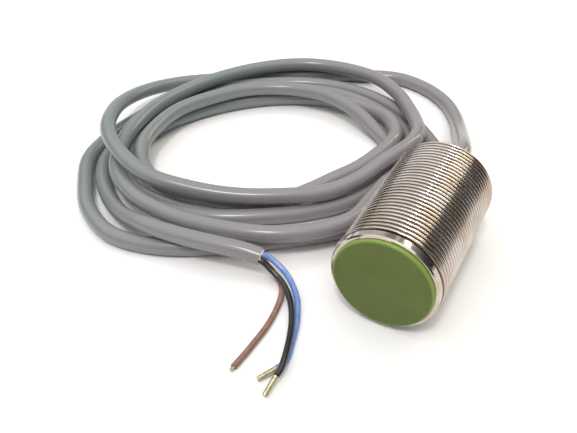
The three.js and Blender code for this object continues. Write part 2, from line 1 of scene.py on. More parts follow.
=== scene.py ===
# Inductive proximity sensor: a barrel with a fine thread, a plastic sensing face and a grey cable
# that lies in a loose coil and ends in three stripped cores. Lengths are in metres, written as
# millimetres times MM; routes, turned profiles and the patterns of materials are in millimetres.
import math
import bpy
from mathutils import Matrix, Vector, noise


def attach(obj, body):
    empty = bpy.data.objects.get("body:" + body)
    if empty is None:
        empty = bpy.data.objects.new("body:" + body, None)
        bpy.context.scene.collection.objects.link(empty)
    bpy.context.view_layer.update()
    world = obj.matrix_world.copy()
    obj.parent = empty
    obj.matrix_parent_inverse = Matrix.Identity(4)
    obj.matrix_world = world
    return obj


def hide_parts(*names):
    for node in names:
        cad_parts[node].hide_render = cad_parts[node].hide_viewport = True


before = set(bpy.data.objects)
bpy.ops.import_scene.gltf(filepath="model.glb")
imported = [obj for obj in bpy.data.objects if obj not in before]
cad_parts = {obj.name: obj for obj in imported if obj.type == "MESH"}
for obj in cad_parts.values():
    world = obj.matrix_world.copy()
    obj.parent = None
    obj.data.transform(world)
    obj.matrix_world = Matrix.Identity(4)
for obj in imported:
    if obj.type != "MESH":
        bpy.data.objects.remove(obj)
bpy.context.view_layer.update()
MM = 0.001

# ---- Camera --------------------------------------------------------------------------------------
# Held about 20 cm away, in front of the sensing face and a little to its right, looking down on it.
camera_place = Vector((34.526, -143.759, 130.121)) * MM
camera_aim = Vector((-39.632, -6.955, 4.481)) * MM
bpy.ops.object.camera_add(location=camera_place)
camera = bpy.context.object
camera.rotation_euler = (camera_aim - camera_place).to_track_quat("-Z", "Y").to_euler()
camera.data.sensor_width = 36
camera.data.lens = 40.5
camera.data.clip_start = 0.01
bpy.context.scene.camera = camera

# ---- Cable jacket --------------------------------------------------------------------------------
# Extruded soft PVC round three twisted cores, cut square at its end. It leaves the boot, drops to
# the bench and lies there in loose turns, some over others. The cut end shows the jacket's wall.
CABLE_DIAMETER = 5.2 * MM
JACKET_WALL = 0.62 * MM
JACKET_CUT_DEPTH = 2.4 * MM
CUT_RIM = 0.12 * MM
CUT_BULGE = 0.08 * MM
# The cable's two greys: painted cool at the left and warm at the right, a painted tint of the
# lights on either side.
CABLE_COLOURS = {"cool": "#7e8687", "warm": "#8a8688"}
cable_route = [
    # Out of the boot, down to the floor and along the back.
    (0, 31.8, 15), (0, 38, 14.7),
    (-2, 46, 12.4), (-5, 56, 8.8), (-8.5, 67, 5.4), (-13, 78, 3.2), (-20, 88, 2.8), (-31, 96, 2.7),
    (-44, 99, 2.7), (-57, 95, 2.7), (-70, 89, 2.7), (-85, 81, 2.7), (-100, 71, 2.75),
    (-112, 61, 2.9),
    # Up over all the other turns at the left, and back along the front.
    (-121, 49, 4.5), (-125, 36, 6.8), (-124.5, 22, 9.6), (-119.5, 8, 12.6), (-111, -5, 13.8),
    (-98, -14, 13.6), (-84, -18, 12), (-70, -15, 9.8), (-57, -10, 8.4), (-44, -3, 8.2),
    (-33, 5, 8.3), (-26, 15, 9.6),
    # Up behind the barrel, round the back as the outermost turn, and down the left.
    (-21.5, 25, 12), (-17, 35, 13.8), (-17.5, 45, 12.8), (-21.5, 55, 10.6), (-28, 66, 8.8),
    (-37, 77, 8.2), (-50, 85, 8.2), (-66, 86, 8.2), (-80, 82, 8.2), (-92, 73, 8.2), (-103, 58, 8.2),
    (-110, 41, 8.2), (-113, 24, 8.2), (-111, 7, 8.2), (-106, -6, 8.2), (-98, -17, 8.2),
    (-85, -24.5, 8.2), (-69, -27.3, 8.2), (-53, -25.4, 8.2), (-38, -20.5, 8.2), (-27, -12.7, 8.2),
    # Behind the barrel again, then on the floor to the far left and the front.
    (-20, -3, 8.4), (-18.7, 9, 8.6), (-17.2, 20, 8.9), (-11.2, 30, 7.6), (-8, 41, 4.2),
    (-11, 51, 2.9), (-18.5, 60.5, 2.7), (-28.5, 69.5, 2.7), (-42, 77, 2.7), (-57, 80, 2.7),
    (-72, 78, 2.7), (-87, 71, 2.7), (-100, 60, 2.7), (-110, 47, 2.7), (-117.5, 32, 2.7),
    (-120.3, 17, 2.7), (-120.5, 3, 2.7), (-117.5, -10, 2.7), (-108.5, -22, 2.7), (-98, -32, 2.7),
    (-84, -38, 2.7), (-69, -36, 2.7), (-55, -29, 2.7), (-40, -18, 2.7),
    # Round the right on the floor, then on top of the turns at the back.
    (-27, -7, 2.7), (-18.5, 3, 2.7), (-15, 14, 2.7), (-14, 26, 2.7), (-18, 37, 2.7),
    (-25.5, 46, 2.85), (-35, 53, 4), (-46, 58, 7), (-60, 61.5, 8.4), (-75, 60, 8.2), (-89, 52, 8.2),
    (-98, 40, 8.2), (-104, 26, 8.2), (-104, 12, 8.2), (-101, 0, 7.5), (-94, -8, 5), (-82, -11, 2.8),
    (-68, -9, 2.7), (-56, -5.5, 2.7),
    # The innermost turn, which doubles back at the right over the one before.
    (-47, 1, 2.7), (-41, 9.5, 3.2), (-36, 18, 4.2), (-31, 26, 5.4), (-27.5, 34, 7),
    (-25.5, 42, 8.3), (-27, 50, 8.2), (-33, 58, 7.4), (-42, 63.5, 6), (-54, 67, 4.2),
    (-69, 65.5, 2.8), (-83, 58, 2.7), (-94.5, 47, 2.7), (-103, 34, 2.7), (-108.5, 19.5, 2.7),
    (-109, 5, 2.7), (-103.5, -7, 2.7), (-93, -16, 2.7), (-79, -19, 2.7), (-63, -17, 2.7),
    (-48, -9, 2.75), (-35, 1, 2.8), (-26.5, 11, 3.4),
    # Over the third turn behind the barrel, and once more round on the floor.
    (-22.2, 20, 4.7), (-18.5, 29, 7.4), (-17.5, 37, 8.2), (-19.5, 45, 7), (-22.5, 53, 5),
    (-27.3, 60, 3.2), (-34.5, 66, 2.75), (-46, 71.5, 2.7), (-59, 74, 2.7), (-74, 71, 2.7),
    (-87, 63, 2.7), (-98.5, 52, 2.7), (-108, 38.5, 2.7), (-113.7, 23.5, 2.7), (-115, 8, 2.7),
    (-112.5, -6, 2.7), (-106.5, -15.5, 2.7), (-95.5, -24.8, 3), (-84, -31.2, 5.2),
    # Over the front turn to the cut end.
    (-72, -34, 7.8), (-60, -33.5, 8.2), (-49, -31.6, 8.1), (-42, -29.9, 7.6), (-36.7, -28.8, 6.7),
]


def smooth_line(points, steps):
    """An even curve through the given points, in metres; it never swings wide of a tight turn."""
    places = [Vector(point) * MM for point in points]
    first = 2 * places[0] - places[1]
    last = 2 * places[-1] - places[-2]
    padded = [first] + places + [last]
    line = []
    for before, start, end, after in zip(padded, padded[1:], padded[2:], padded[3:]):
        gap_before = math.sqrt((start - before).length)
        gap = math.sqrt((end - start).length)
        gap_after = math.sqrt((after - end).length)
        along = (end - start) / gap
        leave = (start - before) / gap_before - (end - before) / (gap_before + gap) + along
        arrive = along - (after - start) / (gap + gap_after) + (after - end) / gap_after
        for step in range(steps):
            t = step / steps
            line.append(
                (2 * t**3 - 3 * t**2 + 1) * start
                + (t**3 - 2 * t**2 + t) * gap * leave
                + (3 * t**2 - 2 * t**3) * end
                + (t**3 - t**2) * gap * arrive
            )
    line.append(places[-1])
    return line


def only(piece):
    """Makes a piece the one that is selected and active."""
    bpy.ops.object.select_all(action="DESELECT")
    piece.select_set(True)
    bpy.context.view_layer.objects.active = piece
    return piece


def sweep(name, line, diameter, roundness):
    """A round strand along a line, closed at both ends."""
    curve = bpy.data.curves.new(name, "CURVE")
    curve.dimensions = "3D"
    curve.bevel_depth = diameter / 2
    curve.bevel_resolution = roundness
    curve.use_fill_caps = True
    spline = curve.splines.new("POLY")
    spline.points.add(len(line) - 1)
    for point, place in zip(spline.points, line):
        point.co = (*place, 1)
    strand = bpy.data.objects.new(name, curve)
    bpy.context.scene.collection.objects.link(strand)
    only(strand)
    bpy.ops.object.convert(target="MESH")
    bpy.ops.object.shade_smooth_by_angle(angle=math.radians(50))
    return strand


def pick_faces(piece, wanted):
    """Selects the faces that wanted() says, and goes into edit mode."""
    only(piece)
    bpy.ops.object.mode_set(mode="EDIT")
    bpy.ops.mesh.select_mode(type="FACE")
    bpy.ops.mesh.select_all(action="DESELECT")
    bpy.ops.object.mode_set(mode="OBJECT")
    for face in piece.data.polygons:
        face.select = wanted(face)
    bpy.ops.object.mode_set(mode="EDIT")


def linear(colour):
    """An sRGB hex colour as the linear numbers that a shader takes."""
    parts = [int(colour[k:k + 2], 16) / 255 for k in (1, 3, 5)]
    return [p / 12.92 if p <= 0.04045 else ((p + 0.055) / 1.055) ** 2.4 for p in parts] + [1]


def add(tree, kind, inputs=None, **settings):
    """Adds a node, with its settings, and with numbers or links on its inputs."""
    made = tree.nodes.new(kind)
    for name, value in settings.items():
        setattr(made, name, value)
    for name, value in (inputs or {}).items():
        if isinstance(value, bpy.types.NodeSocket):
            tree.links.new(value, made.inputs[name])
        else:
            made.inputs[name].default_value = value
    return made


def start_material(name, roughness, metallic=0.0, **fixed):
    """A new material with its shader, and the piece's own millimetres to draw patterns on."""
    material = bpy.data.materials.new(name)
    material.use_nodes = True
    tree = material.node_tree
    shader = tree.nodes["Principled BSDF"]
    shader.inputs["Roughness"].default_value = roughness
    shader.inputs["Metallic"].default_value = metallic
    for socket, value in fixed.items():
        shader.inputs[socket.replace("_", " ")].default_value = value
    place = add(tree, "ShaderNodeTexCoord").outputs["Object"]
    millimetres = add(
        tree, "ShaderNodeVectorMath", {0: place, 1: (1000, 1000, 1000)}, operation="MULTIPLY"
    ).outputs["Vector"]
    return material, tree, shader, millimetres


def blotches(tree, millimetres, size, detail=3.0):
    """Soft noise whose blotches are about size millimetres across, from 0 to 1."""
    inputs = {"Vector": millimetres, "Scale": 1 / size, "Detail": detail, "Roughness": 0.55}
    return add(tree, "ShaderNodeTexNoise", inputs).outputs["Fac"]


def ramp(tree, factor, stops):
    """Colours or greys along a factor: a list of (place, hex colour)."""
    made = add(tree, "ShaderNodeValToRGB", {"Fac": factor})
    elements = made.color_ramp.elements
    while len(elements) < len(stops):
        elements.new(0.5)
    for element, (position, colour) in zip(elements, stops):
        element.position = position
        element.color = linear(colour)
    return made.outputs["Color"]


def span(tree, factor, low, high):
    """A 0 to 1 factor as a number from low to high."""
    inputs = {"Value": factor, "To Min": low, "To Max": high}
    return add(tree, "ShaderNodeMapRange", inputs).outputs["Result"]


def progress(tree, value, start, end):
    """How far a value has come from start to end, from 0 to 1."""
    inputs = {"Value": value, "From Min": start, "From Max": end}
    return add(tree, "ShaderNodeMapRange", inputs).outputs["Result"]


def mix_colours(tree, share, first, second, blend="MIX"):
    """Two colours blended: only the first where share is 0, all of the second where it is 1."""
    inputs = {0: share, 6: first, 7: second}
    made = add(tree, "ShaderNodeMix", inputs, data_type="RGBA", blend_type=blend)
    return made.outputs[2]


def relief(tree, shader, height, depth):
    """Bump of a real depth in millimetres, from a 0 to 1 height."""
    inputs = {"Height": height, "Distance": depth * MM, "Strength": 1.0}
    bump = add(tree, "ShaderNodeBump", inputs)
    tree.links.new(bump.outputs["Normal"], shader.inputs["Normal"])


def paint(piece, material):
    """Gives a piece one material in place of what it has."""
    piece.data.materials.clear()
    piece.data.materials.append(material)


def finish_piece(piece, slot, *nodes):
    """A piece of the sensor goes under the root body and hides the solids that it stands for; slot
    is not used.
    """
    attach(piece, "root")
    if nodes:
        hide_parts(*nodes)


def soft_pvc():
    # Extruded PVC with plasticiser: a satin grey, painted cool at the left and warm at the right as
    # a painted tint of the lights there, with a faint orange peel and a few paler rub marks. Its
    # highlights are soft lines along the cable.
    material, tree, shader, mm = start_material("extruded grey PVC", 0.4, IOR=1.52)
    across = add(tree, "ShaderNodeSeparateXYZ", {"Vector": mm}).outputs["X"]
    # Painted light: the grey runs from cool to warm along X, a painted tint of the lights at the
    # left and right.
    light_tint_share = progress(tree, across, -110, -25)
    tone = add(tree, "ShaderNodeMix", {0: 0.35, 2: light_tint_share, 3: blotches(tree, mm, 45)}).outputs[0]
    colour = ramp(tree, tone, [(0.2, CABLE_COLOURS["cool"]), (0.7, CABLE_COLOURS["warm"])])
    scuffs = ramp(tree, blotches(tree, mm, 3.5, 6), [(0.62, "#000000"), (0.8, "#3a3a3a")])
    lighter = mix_colours(tree, scuffs, colour, linear("#b4b3b0"))
    tree.links.new(lighter, shader.inputs["Base Color"])
    tree.links.new(span(tree, blotches(tree, mm, 6), 0.2, 0.27), shader.inputs["Roughness"])
    relief(tree, shader, blotches(tree, mm, 0.6, 2), 0.005)
    return material


cable_line = smooth_line(cable_route, steps=9)
cable = sweep("cable_jacket_round", cable_line, CABLE_DIAMETER, roundness=7)
cut_place = cable_line[-1]
cut_direction = (cable_line[-1] - cable_line[-2]).normalized()
pick_faces(
    cable,
    lambda face: (face.center - cut_place).length < 0.5 * MM and face.area > 5 * MM * MM,
)
bpy.ops.mesh.inset(thickness=CUT_RIM)
bpy.ops.transform.translate(value=cut_direction * CUT_BULGE)
bpy.ops.mesh.inset(thickness=JACKET_WALL)
bpy.ops.mesh.extrude_region_move(
    TRANSFORM_OT_translate={"value": -cut_direction * JACKET_CUT_DEPTH}
)
bpy.ops.object.mode_set(mode="OBJECT")
grey_pvc = soft_pvc()
paint(cable, grey_pvc)
finish_piece(cable, "jacket", "cable_jacket")

# ---- The three cores at the cut end --------------------------------------------------------------
# Stranded copper in thin PVC: brown, blue and black. They fan out of the jacket and droop to the
# bench under their own weight, with the set that they took on the reel.
CORE_DIAMETER = 1.7 * MM
CORE_SPREAD = 0.72  # where a core leaves the cut: 0 is the cable's middle, 1 its first point
CORE_HIDDEN = 1.9  # millimetres that a core goes back into the jacket
core_routes = {
    "blue": [
        (-35.8, -28.7, 7.6), (-34.1, -28.3, 6.9), (-32, -28.3, 5.9), (-28, -29.4, 4.2),
        (-24.9, -31.4, 2.8), (-22.3, -34.1, 1.7), (-20.5, -37.1, 1.05), (-18.7, -41, 0.9),
        (-17.3, -45.1, 0.9), (-16.1, -49.3, 0.9), (-15.3, -52.1, 0.9), (-15.1, -54.1, 0.9),
        (-15.5, -55.7, 0.9), (-16, -56.7, 0.9),
    ],
    "black": [
        (-35.6, -30.2, 6.4), (-34.3, -30.1, 5.6), (-32.5, -30.3, 4.5), (-28.7, -31.3, 3),
        (-25.2, -34, 2.4), (-21.9, -38.2, 2.3), (-19.3, -42.8, 2.4), (-17.3, -47.5, 2.5),
        (-15.8, -51.9, 2.7), (-14.8, -55.3, 2.8), (-14.3, -57.8, 2.7), (-14.4, -59.7, 2.5),
    ],
    "brown": [
        (-36.5, -28.2, 4.9), (-34.7, -28.2, 3.5), (-32.6, -28.6, 2.1), (-30.3, -29.8, 1.1),
        (-28.4, -31.7, 0.9), (-27, -34.5, 0.9), (-26.1, -37.6, 0.9), (-25.3, -41.9, 0.9),
        (-24.9, -46.9, 0.9), (-25, -51.9, 0.9), (-25.2, -56.6, 0.9), (-25.6, -61.3, 0.9),
    ],
}
core_colours = {
    "blue": ("#5b7bc0", "#7d9ad6"),
    "black": ("#1b1a19", "#2e2c2a"),
    "brown": ("#7a5546", "#9c7768"),
}


def core_pvc(colour, deep, pale):
    # Thin extruded PVC insulation: smooth and rather glossy, with the faint ripple of the strands
    # that lie twisted under it.
    material, tree, shader, mm = start_material(f"{colour} core insulation", 0.2, IOR=1.54)
    tone = ramp(tree, blotches(tree, mm, 4, 4), [(0.3, deep), (0.7, pale)])
    tree.links.new(tone, shader.inputs["Base Color"])
    tree.links.new(span(tree, blotches(tree, mm, 1.2), 0.13, 0.27), shader.inputs["Roughness"])
    relief(tree, shader, blotches(tree, mm, 0.9, 1), 0.03)
    return material


cores = {}
for colour, route in core_routes.items():
    # The core goes a little way back into the cut jacket, nearer to the middle of the cable.
    leave = Vector(cut_place / MM).lerp(Vector(route[0]), CORE_SPREAD)
    core_line = smooth_line([leave - cut_direction * CORE_HIDDEN, *route], steps=10)
    core = sweep(f"{colour}_core_round", core_line, CORE_DIAMETER, roundness=6)
    paint(core, core_pvc(colour, *core_colours[colour]))
    finish_piece(core, f"core_{colour}", f"{colour}_core")
    cores[colour] = core

# ---- Fleece wrap in the cut ----------------------------------------------------------------------
# A thin whitish fleece lies between the jacket and the cores. Cut with a knife, it stands out of
# the jacket's end as a short ragged frill.
FLEECE_RADIUS = 1.98 * MM
FLEECE_THICKNESS = 0.14 * MM
FRILL_REACH = 0.3
FRILL_RAGGEDNESS = 0.35
FRILL_SPREAD = 0.08
bpy.ops.object.select_all(action="DESELECT")
bpy.ops.mesh.primitive_cylinder_add(
    vertices=48, radius=FLEECE_RADIUS, depth=2 * MM, end_fill_type="NOTHING",
    location=cut_place - cut_direction * 0.85 * MM,
    rotation=cut_direction.to_track_quat("Z", "Y").to_euler(),
)
fleece = bpy.context.object
fleece.name = "fleece_wrap"
bpy.ops.object.transform_apply()
for vertex in fleece.data.vertices:
    reach = (vertex.co - cut_place).dot(cut_direction)
    if reach > 0:
        ragged = noise.noise(vertex.co * 1900) + 0.4 * noise.noise(vertex.co * 5200)
        vertex.co += cut_direction * (FRILL_REACH + FRILL_RAGGEDNESS * ragged) * MM
        outward = vertex.co - cut_place
        outward -= cut_direction * outward.dot(cut_direction)
        vertex.co += outward * FRILL_SPREAD * (1 + ragged)
wall = fleece.modifiers.new("fleece thickness", "SOLIDIFY")
wall.thickness = FLEECE_THICKNESS
wall.offset = -1
only(fleece)
bpy.ops.object.modifier_apply(modifier=wall.name)


def fleece_paper():
    # Spunbond polyester wrap: matt and off-white, with fibres lying every way.
    material, tree, shader, mm = start_material("spunbond fleece", 0.85)
    fibres = blotches(tree, mm, 0.25, 5)
    tone = ramp(tree, fibres, [(0.3, "#c4c1b4"), (0.7, "#f1efe8")])
    tree.links.new(tone, shader.inputs["Base Color"])
    relief(tree, shader, fibres, 0.05)
    return material


paint(fleece, fleece_paper())
finish_piece(fleece, "jacket")

# ---- Ferrules and bare strands -------------------------------------------------------------------
# Blue and black each end in a tinned copper tube, crimped square with rows of teeth pressed in.
# Brown was only stripped: its twisted strands show, tinned, just past the insulation.
FERRULE_LENGTH = 5.4 * MM
FERRULE_WIDTH = 1.35 * MM
FERRULE_GAP = 0.1 * MM
MOUTH_FLARE = 0.1
CRIMP_TEETH = 6
CRIMP_FLAT = 0.84  # how far out the crimp's flats lie, where the round tube's wall is 1
TOOTH_BITE = 0.09
STRANDS_LENGTH = 1.4 * MM
STRAND_DIAMETER = 0.32 * MM
STRAND_RING = 0.3 * MM
OUTER_STRANDS = 6
STRAND_TWIST = 1.3
STRAND_STEPS = 12


def tinned_copper():
    # Electroplated tin gone dull with handling: a warm silver, yellow where copper shows through.
    material, tree, shader, mm = start_material("dull tin plating", 0.36, metallic=1.0)
    tone = ramp(tree, blotches(tree, mm, 0.8, 4), [(0.35, "#a39668"), (0.6, "#cfc9ae")])
    tree.links.new(tone, shader.inputs["Base Color"])
    tree.links.new(span(tree, blotches(tree, mm, 0.4), 0.28, 0.5), shader.inputs["Roughness"])
    relief(tree, shader, blotches(tree, mm, 0.3), 0.02)
    return material


def last_direction(route, drop):
    """The way a core points at its end, level but for a drop in millimetres."""
    along = Vector(route[-1]) - Vector(route[-2])
    along.z = -drop
    return along.normalized()


tin = tinned_copper()
for colour, drop in (("blue", 0), ("black", 0.6)):
    along = last_direction(core_routes[colour], drop)
    mouth = Vector(core_routes[colour][-1]) * MM
    bpy.ops.object.select_all(action="DESELECT")
    bpy.ops.mesh.primitive_cylinder_add(
        vertices=24, radius=FERRULE_WIDTH / 2, depth=FERRULE_LENGTH
    )
    ferrule = bpy.context.object
    ferrule.name = f"{colour}_ferrule_crimped"
    pick_faces(ferrule, lambda face: abs(face.normal.z) < 0.5)
    bpy.ops.mesh.subdivide_edgering(number_cuts=4 * CRIMP_TEETH, interpolation="LINEAR")
    bpy.ops.object.mode_set(mode="OBJECT")
    for vertex in ferrule.data.vertices:
        run = vertex.co.z / FERRULE_LENGTH + 0.5
        squareness = min(1, max(0, (run - 0.06) * 8), max(0, (1.02 - run) * 10))
        tooth = max(0, math.sin(2 * math.pi * CRIMP_TEETH * run)) * squareness
        widest = max(abs(vertex.co.x), abs(vertex.co.y)) / (FERRULE_WIDTH / 2)
        flat = 1 - squareness * (1 - CRIMP_FLAT / max(widest, CRIMP_FLAT))
        flat -= TOOTH_BITE * tooth * (widest > 0.8)
        vertex.co.x *= flat
        vertex.co.y *= flat
        flare = 1 + MOUTH_FLARE * max(0, 1 - run * 12)
        vertex.co.x *= flare
        vertex.co.y *= flare
    pick_faces(ferrule, lambda face: abs(face.normal.z) > 0.9 and face.area > 0.5 * MM * MM)
    bpy.ops.mesh.inset(thickness=0.18 * MM)
    bpy.ops.mesh.inset(thickness=0.05 * MM)
    bpy.ops.object.mode_set(mode="OBJECT")
    ferrule.rotation_euler = along.to_track_quat("Z", "X").to_euler()
    ferrule.location = mouth + along * (FERRULE_LENGTH / 2 + FERRULE_GAP)
    only(ferrule)
    bpy.ops.object.transform_apply()
    bpy.ops.object.shade_smooth_by_angle(angle=math.radians(35))
    paint(ferrule, tin)
    finish_piece(ferrule, "tinned", f"{colour}_ferrule")
    cores[f"{colour} ferrule"] = ferrule

along = last_direction(core_routes["brown"], 0)
mouth = Vector(core_routes["brown"][-1]) * MM
aside = along.cross(Vector((0, 0, 1))).normalized()
upward = aside.cross(along)
strands = []
for strand in range(OUTER_STRANDS + 1):
    line = []
    for step in range(STRAND_STEPS + 1):
        run = step / STRAND_STEPS
        angle = 2 * math.pi * strand / OUTER_STRANDS + STRAND_TWIST * run
        radius = STRAND_RING if strand < OUTER_STRANDS else 0
        reach = STRANDS_LENGTH * (1 - 0.06 * (strand % 3)) * run
        sideways = aside * math.cos(angle) + upward * math.sin(angle)
        line.append(mouth + along * (reach - 0.2 * MM) + sideways * radius)
    strands.append(sweep(f"strand_{strand}", line, STRAND_DIAMETER, 1))
for strand in strands:
    strand.select_set(True)
bpy.context.view_layer.objects.active = strands[0]
bpy.ops.object.join()
bare_strands = bpy.context.object
bare_strands.name = "brown_strands_twisted"
paint(bare_strands, tin)
finish_piece(bare_strands, "copper", "brown_bare_strands")
cores["brown strands"] = bare_strands

# ---- Threaded barrel -----------------------------------------------------------------------------
# Turned from brass tube: a plain neck at the front, then a fine rolled thread to the rear edge,
# all nickel plated. The thread is a true right-hand helix with rounded crests.
SENSOR_FRONT = -31.5
AXIS_HEIGHT = 15
BARREL_FRONT = 1.04 * MM
BARREL_LENGTH = 47.66 * MM
BARREL_RADIUS = 15 * MM
THREAD_PITCH = 1.5 * MM
THREAD_DEPTH = 0.8 * MM
BORE_RADIUS = 12.6 * MM
NECK_RADIUS = 14.62 * MM
NECK_END = 3.3 * MM
RELIEF_END = 3.75 * MM
RELIEF_RADIUS = 13.95 * MM
EDGE = 0.35 * MM
THREAD_STEPS = 120
WELD = 0.001 * MM
ROOT_SHADE_RADII = (14.25, 14.95)  # painted shade in the thread roots below the first, plain bright metal from the second on
ROLLED_SPAN = (-28.15, 16.7)  # along Y: the turned neck and rear face beyond it get no painted root shade
sensing_face = Vector((0, SENSOR_FRONT, AXIS_HEIGHT)) * MM


def lay_down(piece):
    """Turns a piece modelled upwards from z = 0 into its place, with its z along the sensor."""
    piece.rotation_euler = (-math.pi / 2, 0, 0)
    piece.location = sensing_face
    only(piece)
    bpy.ops.object.transform_apply()


barrel_rear = BARREL_FRONT + BARREL_LENGTH
crest_shape = [  # share of a pitch, share of the thread's depth
    (0, 0), (0.05, 0), (0.17, 0.6), (0.24, 0.86), (0.34, 0.965), (0.5, 1),
    (0.66, 0.965), (0.76, 0.86), (0.83, 0.6), (0.95, 0), (1, 0),
]
tooth_outline = bpy.data.meshes.new("thread tooth")
tooth_outline.from_pydata(
    [
        (
            BARREL_RADIUS - THREAD_DEPTH * (1 - height),
            0,
            BARREL_FRONT + THREAD_PITCH * (share - 2),
        )
        for share, height in crest_shape
    ],
    [(k, k + 1) for k in range(len(crest_shape) - 1)],
    [],
)
barrel = bpy.data.objects.new("nickel_plated_barrel", tooth_outline)
bpy.context.scene.collection.objects.link(barrel)
only(barrel)
thread = barrel.modifiers.new("thread", "SCREW")
thread.angle = 2 * math.pi
thread.screw_offset = THREAD_PITCH
thread.iterations = int(BARREL_LENGTH / THREAD_PITCH) + 5
thread.steps = thread.render_steps = THREAD_STEPS
thread.use_merge_vertices = True
thread.merge_threshold = WELD
bpy.ops.object.modifier_apply(modifier=thread.name)
bpy.ops.object.mode_set(mode="EDIT")
bpy.ops.mesh.select_all(action="SELECT")
bpy.ops.mesh.remove_doubles(threshold=2 * WELD)
for station, keep in (
    (BARREL_FRONT, "front"), (barrel_rear, "rear"), (BARREL_FRONT + EDGE, ""), (NECK_END, ""),
    (NECK_END + 0.15 * MM, ""), (RELIEF_END, ""), (barrel_rear - 2 * EDGE, ""),
):
    bpy.ops.mesh.select_all(action="SELECT")
    bpy.ops.mesh.bisect(
        plane_co=(0, 0, station), plane_no=(0, 0, 1),
        clear_inner=keep == "front", clear_outer=keep == "rear", threshold=2 * WELD,
    )
bpy.ops.object.mode_set(mode="OBJECT")


def turned_radius(station):
    """The radius that the lathe leaves at a station, or None where the thread stays as rolled."""
    if station < BARREL_FRONT + EDGE:
        return NECK_RADIUS - (BARREL_FRONT + EDGE - station)
    if station < NECK_END + 0.05 * MM:
        return NECK_RADIUS
    if station < RELIEF_END:
        return RELIEF_RADIUS
    return None


for vertex in barrel.data.vertices:
    radius = math.hypot(vertex.co.x, vertex.co.y)
    wanted = turned_radius(vertex.co.z)
    if wanted is None:
        # A chamfer takes the thread's last turn down to its root at the rear edge.
        root = BARREL_RADIUS - THREAD_DEPTH
        wanted = min(radius, root + (barrel_rear - vertex.co.z) - 0.05 * MM)
    vertex.co.x *= wanted / radius
    vertex.co.y *= wanted / radius

bpy.ops.object.mode_set(mode="EDIT")
bpy.ops.mesh.select_mode(type="EDGE")
for station in (BARREL_FRONT, barrel_rear):
    bpy.ops.mesh.select_all(action="DESELECT")
    bpy.ops.object.mode_set(mode="OBJECT")
    for edge in barrel.data.edges:
        heights = [barrel.data.vertices[k].co.z for k in edge.vertices]
        edge.select = all(abs(height - station) < 0.01 * MM for height in heights)
    bpy.ops.object.mode_set(mode="EDIT")
    bpy.ops.mesh.extrude_region_move()
    bpy.ops.object.mode_set(mode="OBJECT")
    for vertex in barrel.data.vertices:
        if vertex.select:
            radius = math.hypot(vertex.co.x, vertex.co.y)
            vertex.co.x *= BORE_RADIUS / radius
            vertex.co.y *= BORE_RADIUS / radius
    bpy.ops.object.mode_set(mode="EDIT")
bpy.ops.mesh.select_all(action="DESELECT")
bpy.ops.object.mode_set(mode="OBJECT")
for edge in barrel.data.edges:
    ends = [barrel.data.vertices[k].co for k in edge.vertices]
    edge.select = all(math.hypot(end.x, end.y) < BORE_RADIUS + 0.01 * MM for end in ends)
bpy.ops.object.mode_set(mode="EDIT")
bpy.ops.mesh.bridge_edge_loops()
bpy.ops.mesh.select_all(action="SELECT")
bpy.ops.mesh.remove_doubles(threshold=WELD)
bpy.ops.mesh.normals_make_consistent(inside=False)
bpy.ops.object.mode_set(mode="OBJECT")
bpy.ops.object.shade_smooth_by_angle(angle=math.radians(38))
lay_down(barrel)


def reckon(tree, first, operation, second):
    """One step of arithmetic on two values."""
    made = add(tree, "ShaderNodeMath", {0: first, 1: second}, operation=operation)
    return made.outputs[0]


def turned_place(tree, millimetres):
    """Where a point of a turned piece lies: its distance from the sensor's axis, and its Y."""
    parts = add(tree, "ShaderNodeSeparateXYZ", {"Vector": millimetres}).outputs
    height = reckon(tree, parts["Z"], "SUBTRACT", AXIS_HEIGHT)
    flat = add(tree, "ShaderNodeCombineXYZ", {"X": parts["X"], "Y": 0, "Z": height}).outputs[0]
    radius = add(tree, "ShaderNodeVectorMath", {0: flat}, operation="LENGTH").outputs["Value"]
    return radius, parts["Y"]


def nickel_plating():
    # Bright nickel over rolled brass: a warm silver. The thread roots are painted dark, almost
    # brown, as painted shade in the grooves. The crests keep the bright metal and are rubbed
    # glossier, and soft marks from handling lie over both.
    material, tree, shader, mm = start_material("bright nickel plating", 0.24, metallic=1.0)
    radius, station = turned_place(tree, mm)
    neck = reckon(tree, station, "LESS_THAN", ROLLED_SPAN[0])
    rear = reckon(tree, station, "GREATER_THAN", ROLLED_SPAN[1])
    bright = progress(tree, radius, *ROOT_SHADE_RADII)
    for turned in (neck, rear):
        bright = reckon(tree, bright, "MAXIMUM", turned)
    # Painted shade: the colour darkens from the crests down into the thread roots.
    root_shaded = ramp(tree, bright, [(0, "#4c423d"), (0.4, "#81766f"), (1, "#d3cbc5")])
    stain = ramp(tree, blotches(tree, mm, 9, 5), [(0.35, "#e6dacb"), (0.62, "#ffffff")])
    tree.links.new(
        mix_colours(tree, 1.0, root_shaded, stain, blend="MULTIPLY"), shader.inputs["Base Color"]
    )
    handled = span(tree, blotches(tree, mm, 1.6, 6), -0.05, 0.07)
    worn = reckon(tree, span(tree, bright, 0.42, 0.15), "ADD", handled)
    tree.links.new(worn, shader.inputs["Roughness"])
    relief(tree, shader, blotches(tree, mm, 0.5, 4), 0.012)
    return material


paint(barrel, nickel_plating())
finish_piece(barrel, "nickel", "threaded_barrel")

# ---- Sensing face cap ----------------------------------------------------------------------------
# A moulded cup of glass-filled polyester. Its flat face is a fine satin, its edge is rounded over
# and painted a little paler as a highlight, and its skirt with the ring groove pushes into the
# barrel.
CAP_STEPS = 128
CAP_RIM_HIGHLIGHT_RADII = (12.85, 13.5)


